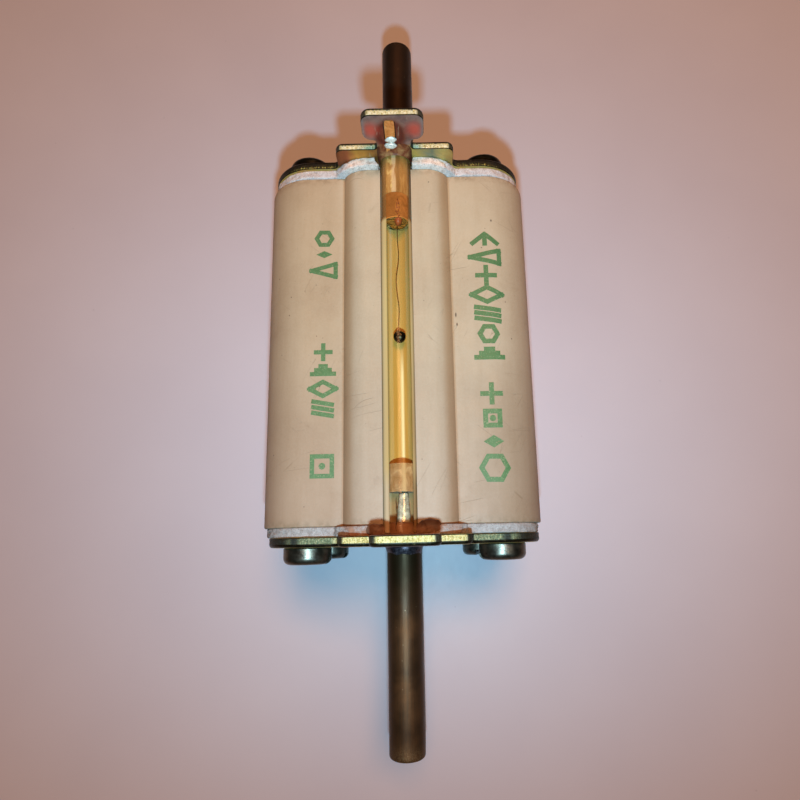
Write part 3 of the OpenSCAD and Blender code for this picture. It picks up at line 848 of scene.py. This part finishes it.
def edge_kind(face):
    """Flat faces, the broken middle of the edge and its rolled rim."""
    if abs(face.normal.y) > 0.85:
        return 0
    y = abs(face.calc_center_median().y) * PER_MM
    return 1 if PLATE_IN + 0.2 < y < PLATE_OUT - 0.55 else 2


def gasket_outline():
    """Fibre sheet: the lobes of the body with a higher arch over the rib, open at the glass tube."""
    side, front, lift = HALF_WIDTH - 0.6, LOBE_Z + 0.2, 1.1
    centre_z = RIB_Z - ARCH_ROUND + lift
    foot = math.degrees(math.asin((front - centre_z) / ARCH_ROUND))
    half = [(2.9, RIB_Z + lift)] + arc(ARCH_FLAT, centre_z, ARCH_ROUND, 90, foot, 14)
    half += arc(side - CORNER, front - CORNER, CORNER, 90, 0, 20)
    half += arc(side - CORNER, CORNER - LOBE_Z + 0.6, CORNER, 0, -90, 20)
    return section(half, arc(0, TUBE_Z, 2.9, 0, -180, 16), 0.32)


def frayed(seed):
    """The loose edge of a fibre sheet, which also bends away from the tube."""
    def shake(x, y, z):
        r, past = math.hypot(x, z), (abs(y) - BODY_END) / (PLATE_IN - BODY_END)
        away = 0.22 * flow((x, y * 1.6, z), 1.0, seed) + 0.2 * flow((x, y * 1.3, z), 0.4, seed + 1) - 0.05
        away *= 1 - 0.65 * abs(2 * past - 1) ** 3
        if z > RIB_Z - 0.4 and abs(x) < 3.3:
            opening = max(0.0, past) ** 1.5
            x += math.copysign((1.1 if x < 0 else 0.25) * opening, x) + 0.12 * flow((x, y * 2, z), 0.7, seed + 5)
        return x + away * x / r, y, max(0.05 - LOBE_Z, z + away * z / r)
    return shake


def screw(x, z):
    """Pan head and its shank into the ceramic."""
    head, high, lip, shank, seat = 3.85, 2.7, 1.1, 1.95, PLATE_OUT
    profile = [(0.0, seat - 12.4), (shank - 0.3, seat - 12.4), (shank, seat - 12.1), (shank, seat),
               (head - 0.18, seat), (head, seat + 0.2)]
    profile += arc(head - lip, seat + high - lip, lip, 0, 80, 8)
    profile += [(head - lip - 0.35, seat + high - 0.005), (1.2, seat + high), (0.0, seat + high)]
    return skin([[(x + r * math.cos(a), y, z + r * math.sin(a)) for a in around(48)] for r, y in profile], "open")


def cut_slot(piece, centre, along, half):
    """Takes a box-shaped slot out of a piece."""
    up = Vector((0, 1, 0))
    across = along.cross(up)
    mesh = bpy.data.meshes.new("slot_cutter")
    bm = bmesh.new()
    bmesh.ops.create_cube(bm, size=1.0)
    for v in bm.verts:
        v.co = (Vector(centre) + along * v.co.x * 2 * half[0] + up * v.co.y * 2 * half[1]
                + across * v.co.z * 2 * half[2])
        v.co = Vector((v.co.x * MM, v.co.y * MM, v.co.z * MM + AXIS_Z))
    bmesh.ops.recalc_face_normals(bm, faces=bm.faces)
    bm.to_mesh(mesh)
    bm.free()
    cutter = put("slot_cutter", mesh)
    cut = piece.modifiers.new("slot", "BOOLEAN")
    cut.operation, cut.solver, cut.object = "DIFFERENCE", "EXACT", cutter
    bake(piece)
    bpy.data.objects.remove(cutter)
    piece.data.set_sharp_from_angle(angle=math.radians(38))


ENDS = ((1, "top", 0.0), (-1, "bottom", BOTTOM_TURN))
plate_levels = [(PLATE_IN, 0.2), (PLATE_IN + 0.06, 0.07), (PLATE_IN + 0.2, 0.0), (PLATE_IN + 0.5, 0.03),
                (PLATE_IN + 0.8, 0.02), (PLATE_OUT - 0.55, 0.0), (PLATE_OUT - 0.36, 0.05),
                (PLATE_OUT - 0.18, 0.16), (PLATE_OUT - 0.06, 0.32), (PLATE_OUT, 0.52)]
holes = [window_outline(), stadium(5.2, 17.2)] + [circle(x, z, 2.3, 28) for x, z in SCREWS]
plate = slab(plate_outline(), plate_levels, holes, stamped)
for side, label, angle in ENDS:
    add(f"end_plate_{label}", at_end(plate, side, angle), "plate sheared rolled",
        f"{label}_end_plate", angle=32, pick=edge_kind)

gasket_levels = [(BODY_END + rise, depth) for rise, depth in
                 ((0.01, 0.14), (0.1, 0.02), (0.32, 0.0), (0.56, -0.02), (0.8, 0.0), (1.04, -0.02), (1.26, 0.0))]
gasket_levels += [(PLATE_IN - 0.1, 0.03), (PLATE_IN - 0.01, 0.15)]
for (side, label, angle), seed in zip(ENDS, (5, 11)):
    centres, _ = at_end(([(x, 0, z) for x, z in SCREWS], []), 1, angle)
    holes = [stadium(5.2, 17.2)] + [circle(x, z, 2.15, 24) for x, _, z in centres]
    gasket = slab(gasket_outline(), gasket_levels, holes, frayed(seed))
    add(f"fibre_gasket_{label}", at_end(gasket, side), "fibre", f"{label}_gasket")

for side, label, angle in ENDS:
    for index, ((x, z), slot_turn) in enumerate(zip(SCREWS, (20, 105, 8, 172))):
        piece = add(f"{label}_pan_screw_{index + 1}", at_end(screw(x, z), side, angle), "screw",
                    "" if index else f"{label}_plate_screws", angle=32)
        (head,), _ = at_end(([(x, PLATE_OUT + 2.7, z)], []), side, angle)
        turn = math.radians(slot_turn)
        cut_slot(piece, head, Vector((math.cos(turn), 0, math.sin(turn))).normalized(), (5, 1.1, 0.55))


# Blades and their braze
BLADE_WIDTH = TOP_BLADE[1].z - TOP_BLADE[0].z
BLADE_THICK = TOP_BLADE[1].x - TOP_BLADE[0].x


def blade():
    rings = []

    def ring(y, thickness, width, shake=0.0):
        loop = []
        for x, z in stadium(thickness, width, 18, 12):
            d = abs(shake * flow((x, y * 0.35, z), 2.6, 8))
            r = math.hypot(x, z)
            loop.append((x - d * x / r, y, z - d * z / r))
        rings.append(loop)

    ring(TOP_BLADE[0].y, 4.2, 16.2)
    ring(TOP_BLADE[0].y + 0.4, 5.0, 17.0)
    ring(PLATE_OUT - 0.02, 5.0, 17.0)
    ring(PLATE_OUT, BLADE_THICK - 0.1, BLADE_WIDTH - 0.1)
    y = PLATE_OUT + 1.2
    while y < BLADE_TIP - 0.55:
        ring(y, BLADE_THICK, BLADE_WIDTH, 0.05)
        y += 0.8
    for bend in (math.radians(90 * k / 4) for k in range(5)):
        less = 1 - math.cos(bend)
        ring(BLADE_TIP - 0.5 * (1 - math.sin(bend)), BLADE_THICK - less, BLADE_WIDTH - less, 0.03)
    return skin(rings)


def braze(seed, drop):
    """Fillet round the foot of a blade, with a heavier drop on its front edge."""
    rings = []
    for out, up in ((-0.6, 0.0), (0.95, 0.0), (0.9, 0.08), (0.55, 0.22), (0.28, 0.45), (0.1, 0.75), (0.02, 0.98),
                    (-0.6, 0.95)):
        rings.append([(x, PLATE_OUT + up * (1 + 0.3 * flow((x, 0, z), 2.0, seed)), z)
                      for x, z in stadium(6.0 + 2 * out, BLADE_WIDTH + 2 * out, 18, 12)])
    bead = lump((0, PLATE_OUT, BLADE_WIDTH / 2 - 2.7), (drop, drop, drop * 0.95), rough=0.07, size=2.2,
                seed=seed, cut=lambda x, y, z: (x, max(PLATE_OUT, y), z))
    return joined(skin(rings, "joined"), bead)


for side, label, _ in ENDS:
    add(f"blade_{label}", at_end(blade(), side), "blade", f"{label}_blade", angle=40)
for (side, label, _), drop in zip(ENDS, (3.2, 3.25)):
    add(f"{label}_braze_fillet", at_end(braze(21 + side, drop), side), "braze", f"{label}_blade_braze",
        angle=50)


# Indicator
def along_tube(count, point):
    """A path of count steps through point(t), with t from 0 to 1."""
    return [point(k / count) for k in range(count + 1)]


def wire_point(t):
    y = BALL_Y + BALL_R + 0.06 + t * (PLUG[0].y - 0.2 - BALL_Y - BALL_R)
    wander = math.sin(math.pi * min(1, 1.15 * t))
    return (CORE_X - 0.12 + wander * (0.26 * math.sin(y * 0.55) + 0.12 * flow((0, y, 0), 2.4, 41)), y,
            TUBE_Z + 0.45 + 0.25 * wander)


def knot_point(t):
    """The wire's upper end is knotted against the front of the plug, just under the glass."""
    x = CORE_X + 0.1 + 0.36 * math.sin(t * 17) * (1 - 0.6 * t) + 0.08 * math.sin(t * 41)
    return x, PLUG[0].y - 0.1 + 3.4 * t + 0.3 * math.sin(t * 29), TUBE_Z + math.sqrt(2.27 ** 2 - x * x)


def plug(low, high, radius, seed, x=0.0, rough=0.012, dome=0.02, count=26):
    """Poured plug: a filled length of tube with domed, uneven ends."""
    rings = []
    for t in (k / count for k in range(count + 1)):
        end = min(t, 1 - t) * (high - low)
        r = radius * (1 if end > dome else math.sqrt(1 - min(0.36, dome) * (1 - end / dome) ** 2))
        y = low + (high - low) * t
        ring = []
        for a in around(40):
            spot = (math.cos(a) * 2, y, math.sin(a) * 2)
            worn = r * (1 - rough * abs(flow(spot, 1.1, seed)))
            ring.append((x + worn * math.cos(a), y + 0.05 * flow(spot, 1.5, seed + 2), TUBE_Z + worn * math.sin(a)))
        rings.append(ring)
    return skin(rings)


def cone():
    """Tinned contact that widens towards the foot, dented."""
    rings = []
    for t in (k / 30 for k in range(31)):
        r = 0.62 + (1.1 - 0.62) * t ** 0.8 if t else 0.2
        y = CONE[1].y - 0.03 - t * (CONE[1].y - CONE[0].y - 0.06)
        x = (CONE[0].x + CONE[1].x) / 2 + 0.1 - 0.1 * t
        dents = [(a, 1 + 0.06 * flow((math.cos(a), y, math.sin(a)), 0.9, 77)) for a in around(32)]
        rings.append([(x + r * d * math.cos(a), y, TUBE_Z + 0.35 + r * d * math.sin(a)) for a, d in dents])
    return skin(rings)


TUBE_TOP = TUBE[1].y - 0.1
add("glass_tube", tube(TUBE_R, TUBE_BORE, TUBE[0].y, TUBE_TOP, 0.22, 0), "glass",
    "indicator_tube", angle=50)
add("amber_lining_tube", tube(SLEEVE_R, SLEEVE_BORE, SLEEVE[0].y + 0.02, SLEEVE[1].y - 0.02, 0.03, CORE_X),
    "amber", "indicator_sleeve", angle=50)
eye = [(CORE_X - 0.28 + 0.16 * math.cos(a), BALL_Y + BALL_R * 0.84 + 0.13 * math.sin(a), TUBE_Z + 0.3)
       for a in around(24) + [2 * math.pi]]
ball = lump((CORE_X, BALL_Y, TUBE_Z), (BALL_R * 0.955,) * 3, 22, 32, 0.05, 0.9, 31)
add("steel_ball", joined(ball, sweep(eye, 0.055, 6)), "ball", "indicator_ball", "ball")
add("hanging_wire", sweep(along_tube(60, wire_point), 0.065), "wire", "indicator_wire")
add("top_plug", plug(PLUG[0].y + 0.02, PLUG[1].y - 0.02, 2.28, 51), "plug", "top_indicator_plug")
add("wire_knot", sweep(along_tube(89, knot_point), 0.045, 7), "knot")
drop = lump((CORE_X + 0.1, PLUG[0].y - 0.1, TUBE_Z + 1.25), (0.62, 0.95, 0.85), rough=0.12, size=0.7, seed=61)
add("wax_drop", drop, "wax")
add("varnish_lining", tube(2.33, 2.24, PLUG[1].y - 0.7, TUBE_TOP - 0.12, 0.05, 0, 48), "film")
add("foot_plug", plug(BAND[0].y + 0.03, BAND[1].y - 0.02, SLEEVE_R - 0.01, 71, CORE_X), "band",
    "bottom_indicator_plug")
add("tinned_contact_cone", cone(), "tin", "bottom_indicator_cap")
crack = along_tube(25, lambda t: (-0.4 - 0.1 * math.sin(t * 9) - 0.12 * t, CONE[1].y - 1.5 - t * 4.35,
                                  TUBE_Z + 1.9 + 0.34 * min(1, 2 * t)))
add("contact_lead", sweep(crack, 0.055, 6, lambda t: 0.45 + 0.9 * abs(math.sin(3 + 7 * t))), "wire")


# Contact, solder and resin
def tab(middle, half):
    """Copper tab in the window, bowed, that runs down over the resin to the tube."""
    rings = []
    for t in (k / 24 for k in range(25)):
        z = TAB[1].z - t * (TAB[1].z - TAB[0].z - 0.1)
        y = PLATE_IN + 0.12 - 0.34 * max(0.0, (t - 0.5) * 2) ** 1.2 + 0.04 * math.sin(9 * t)
        wide = half * (1 - 0.25 * max(0.0, 1 - 8 * t) ** 2)
        rings.append([(middle + wide * out, y + back, z) for out, back in
                      ((-1, 0), (-0.3, -0.05), (0.3, -0.05), (1, 0), (1, 0.22), (-1, 0.22))])
    return skin(rings)


def top_seal():
    """A fillet from the front of the tube up on to the neck of the plate."""
    rings = []
    for a in (math.radians(-35 + 250 * k / 48) for k in range(49)):
        rise = max(0.0, math.sin(a)) ** 1.5
        reach, long = 0.24 + 2.3 * rise, 0.3 + 0.3 * rise
        ring = []
        for q in range(9):
            b = math.radians(90 * q / 8)
            wave = 1 + 0.16 * flow((math.cos(a) * 3, q * 0.3, math.sin(a) * 3), 1.0, 91)
            ring.append((TUBE_R + reach * wave * (1 - math.sin(b)), PLATE_IN - long * wave * (1 - math.cos(b))))
        ring += [(TUBE_R - 0.04, PLATE_IN - long), (TUBE_R - 0.1, PLATE_IN + 0.04), (TUBE_R + reach, PLATE_IN + 0.04)]
        rings.append([(max(-2.95, min(2.95, r * math.cos(a))), y, min(24.85, TUBE_Z + r * math.sin(a)))
                      for r, y in ring])
    return skin(rings)


def bottom_seal():
    """A plug in the end of the tube, a pad each side on the gasket, and a spill on the ceramic."""
    pads = (((-3.85, 0.8, 21.65), (1.35, 0.95, 0.55), 16, 24, 0.07, 1.3),
            ((-2.95, 0.8, 21.2), (0.75, 0.95, 0.9), 16, 24, 0.07, 1.3),
            ((3.3, 0.9, 21.3), (1.1, 1.0, 0.95), 16, 24, 0.07, 1.3),
            ((4.45, 1.15, 21.45), (1.85, 1.15, 0.5), 18, 28, 0.13, 0.9),
            ((0.0, 0.12, TUBE_Z), (3.2, 0.2, 3.0), 16, 28, 0.05, 1.3))
    lumps = [lump((x, y - PLATE_IN, z), *rest, 140 + k, lambda x, y, z: (x, max(y, -PLATE_IN - 0.04), z))
             for k, ((x, y, z), *rest) in enumerate(pads)]
    return joined(plug(-PLATE_IN + 0.06, -BODY_END + 0.42, 2.28, 145, 0.0, 0.01, 0.5), *lumps)


middle = (TAB[0].x + TAB[1].x) / 2
add("copper_contact_tab", tab(middle, (TAB[1].x - TAB[0].x) / 2), "copper", "indicator_contact_tab",
    angle=40)
wedge = lump((middle + 0.1, PLATE_IN - 0.05, WINDOW[2] + 0.2), (0.95, 0.24, 0.62), 14, 20, 0.2, 0.5, 81)
blob = lump((middle, PLATE_IN - 0.3, WINDOW[2] - 0.85), (1.05, 0.38, 0.62), 16, 24, 0.12, 0.6, 83)
add("tin_joint", joined(wedge, blob), "solder", "contact_solder")
add("resin_seal_top", top_seal(), "top_resin", "top_resin_seal", angle=50)
resin = add("resin_seal_bottom", bottom_seal(), "foot_resin", "bottom_resin_seal")
melt = resin.modifiers.new("skin", "REMESH")
melt.mode, melt.voxel_size, melt.use_smooth_shade = "VOXEL", 0.11 * MM, True
soft = resin.modifiers.new("settle", "SMOOTH")
soft.factor, soft.iterations = 0.5, 2
bake(resin)


# Generic printed marks
def lobe_point(x, y, lift):
    """Point that much above the front of a lobe, x measured along its skin."""
    side, flat = (1 if x > 0 else -1), HALF_WIDTH - CORNER
    if abs(x) <= flat:
        return x, y, LOBE_Z + lift
    a = (abs(x) - flat) / CORNER
    return side * (flat + (CORNER + lift) * math.sin(a)), y, LOBE_Z - CORNER + (CORNER + lift) * math.cos(a)


def ribbon(path, wide, closed=False):
    """Short slices of a stroke along a path. At a corner both sides run on, so that they meet."""
    quads, last = [], len(path) - 2
    for i in range(last + 1):
        (au, av), (bu, bv) = path[i], path[i + 1]
        ahead = Vector((bu - au, bv - av))
        long = ahead.length
        ahead.normalize()
        ends = []
        for near, other, way, tip in ((path[i], path[i - 1] if i else path[-2], -1, 0),
                                      (path[i + 1], path[i + 2] if i < last else path[1], 1, last)):
            bend = Vector((other[0] - near[0], other[1] - near[1])).normalized()
            turn = math.acos(max(-1.0, min(1.0, ahead.dot(bend) * way)))
            ends.append(0.0 if not closed and i == tip else wide / 2 * min(1.0, math.tan(turn / 2)))
        reach = long + sum(ends)
        count = math.ceil(reach / 0.3)
        for k in range(count):
            near, far = (-ends[0] + reach * (k + step) / count for step in (0, 1))
            quads.append([(au + ahead.x * t - ahead.y * w, av + ahead.y * t + ahead.x * w)
                          for t, w in ((near, -wide / 2), (far, -wide / 2), (far, wide / 2), (near, wide / 2))])
    return quads


def filled(outline):
    """A filled shape as thin slices, so that it can follow a curved surface."""
    centre = tuple(sum(values) / len(outline) for values in zip(*outline))
    ring = split_path(outline + outline[:1], 0.3) + outline[:1]
    return [(centre, a, b, centre) for a, b in zip(ring, ring[1:])]


def symbol(kind, w, h, wide):
    """Strokes of a plain graphic mark in a cell w long and h high. None of them is a character."""
    m, c = h / 2, w / 2

    def polygon(r, corners, turn=0.0):
        return [(c + r * math.cos(a + turn), m + r * math.sin(a + turn)) for a in around(corners)]

    outlines = {"diamond": [(c, 0), (w - 0.1, m), (c, h), (0.1, m)],
                "triangle": [(0.1, 0.2), (w - 0.1, 0.2), (c, h)],
                "hexagon": polygon(min(w, h) * 0.52, 6, 0.5),
                "target": polygon(min(w, h) * 0.52, 4, math.pi / 4)}
    strokes = {"slashes": [[(w * k - 0.35, 0.3), (w * k + 0.35, h - 0.3)] for k in (0.12, 0.5, 0.88)],
               "plus": [[(c, h * 0.14), (c, h * 0.86)], [(c - h * 0.36, m), (c + h * 0.36, m)]],
               "arrow": [[(w * 0.1, 0.2), (w * 0.85, m), (w * 0.1, h - 0.2)], [(0, m), (w * 0.7, m)]],
               "steps": [[(w * (0.2 + 0.3 * k), m - h * t / 2), (w * (0.2 + 0.3 * k), m + h * t / 2)]
                         for k, t in enumerate((1.0, 0.68, 0.36))]}
    if kind == "diamond_solid":
        return filled([(c, h * 0.18), (w * 0.86, m), (c, h * 0.82), (w * 0.14, m)])
    if kind in outlines:
        dot = filled(polygon(0.55, 8)) if kind == "target" else []
        return ribbon(outlines[kind] + outlines[kind][:1], wide, True) + dot
    return [quad for path in strokes[kind] for quad in ribbon(path, wide)]


def print_line(name, left_x, high, wide, groups):
    """One line of marks that runs along +y, its foot at left_x + high, printed a few hundredths proud."""
    points, faces, gap = [], [], 0.8
    for start, end, kinds in groups:
        unit = (end - start - gap * (len(kinds) - 1)) / sum(share for _, share in kinds)
        at = start
        for kind, share in kinds:
            flat, shapes = [], []
            for quad in symbol(kind, unit * share, high, wide):
                corners = [p for i, p in enumerate(quad) if p not in quad[:i]]
                if sum(a[0] * b[1] - b[0] * a[1] for a, b in zip(corners, corners[1:] + corners[:1])) < 0:
                    corners.reverse()
                if len(corners) > 2:
                    shapes.append(list(range(len(flat), len(flat) + len(corners))))
                    flat += [Vector(p) for p in corners]
            verts, _, cells, _, _, source = delaunay_2d_cdt(flat, [], shapes, 1, 1e-4)
            cells = [cell for cell, covered in zip(cells, source) if covered]
            low, top = len(points), len(points) + len(verts)
            for first, lift, order in ((low, INK_LOW, 1), (top, INK_HIGH, -1)):
                points += [lobe_point(left_x + high - v.y, at + v.x, lift) for v in verts]
                faces += [tuple(first + i for i in cell[::order]) for cell in cells]
            edges = dict.fromkeys((i, j) for cell in cells for i, j in zip(cell, cell[1:] + cell[:1]))
            faces += [(low + j, low + i, top + i, top + j) for i, j in edges if (j, i) not in edges]
            at += unit * share + gap
    add(name, (points, faces), "ink")


print_line("printed_marks_left", -14.6, 4.3, 0.72, (
    (-22.9, -18.6, (("target", 1.0),)),
    (-12.6, -0.6, (("slashes", 1.0), ("diamond", 1.05), ("steps", 0.9), ("plus", 0.95))),
    (11.5, 20.0, (("triangle", 1.0), ("diamond_solid", 0.7), ("hexagon", 1.0)))))
print_line("printed_marks_right", 12.5, 5.2, 0.8, (
    (-23.7, -7.7, (("hexagon", 1.3), ("diamond_solid", 0.9), ("target", 1.0), ("plus", 1.1))),
    (-3.7, 19.4, (("steps", 0.9), ("hexagon", 1.1), ("slashes", 1.0), ("diamond", 1.1), ("plus", 1.0),
                  ("triangle", 1.0), ("arrow", 1.0)))))


# What stays hidden inside
for node in ("fuse_element_1", "fuse_element_2", "fuse_element_3", "fuse_element_4", "quartz_sand_fill"):
    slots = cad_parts[node].data.materials
    slots.clear()
    slots.append(FINISH["sand" if "sand" in node else "copper"])


# Floor, lights and camera
def make_floor():
    bm = bmesh.new()
    bmesh.ops.create_grid(bm, x_segments=8, y_segments=8, size=1.5)
    mesh = bpy.data.meshes.new("table_top")
    bm.to_mesh(mesh)
    bm.free()
    mesh.materials.append(floor_finish())
    floor = put("table_top", mesh)
    floor.location.z = cad_box[0].z - 0.0001


def soft_light(name, place, target, power, size, colour, long_side=None):
    data = bpy.data.lights.new(name, "AREA")
    data.energy, data.size, data.color = power, size, colour
    if long_side:
        data.shape, data.size_y = "RECTANGLE", long_side
    lamp = put(name, data)
    lamp.location = place
    lamp.rotation_euler = (Vector(target) - Vector(place)).to_track_quat("-Z", "Y").to_euler()
    lamp.visible_camera = False


make_floor()
centre = (cad_box[0] + cad_box[1]) / 2
soft_light("cool_key", (0.004, -0.050, 0.123), (0.0, 0.12, 0.0), 0.19, 0.004, (0.43, 0.78, 1.0))
soft_light("warm_lamp", (0.05, 0.128, 0.56), centre, 2.05, 0.18, (1.0, 0.46, 0.20))
soft_light("overhead_strip", (0.09, 0.085, 0.48), centre, 0.07, 0.09, (1.0, 0.93, 0.80), 0.16)

world = bpy.data.worlds.new("studio")
bpy.context.scene.world = world
world.use_nodes = True
backdrop = world.node_tree.nodes["Background"]
backdrop.inputs["Color"].default_value = (0.92, 0.82, 0.64, 1)
backdrop.inputs["Strength"].default_value = 0.03

camera_data = bpy.data.cameras.new("photo_view")
camera_data.lens, camera_data.sensor_width = 24.63, 36
camera_data.shift_x, camera_data.shift_y = -0.0349, 0.0411
camera_data.clip_start, camera_data.clip_end = 0.005, 10
camera = put("photo_view", camera_data)
camera.location = (0.003831, -0.032193, 0.123319)
camera.rotation_euler = (math.radians(10.7646), math.radians(-0.1987), math.radians(-1.3917))
bpy.context.scene.camera = camera
bpy.context.scene.view_settings.view_transform = "Standard"
bpy.context.scene.cycles.transparent_max_bounces = 32
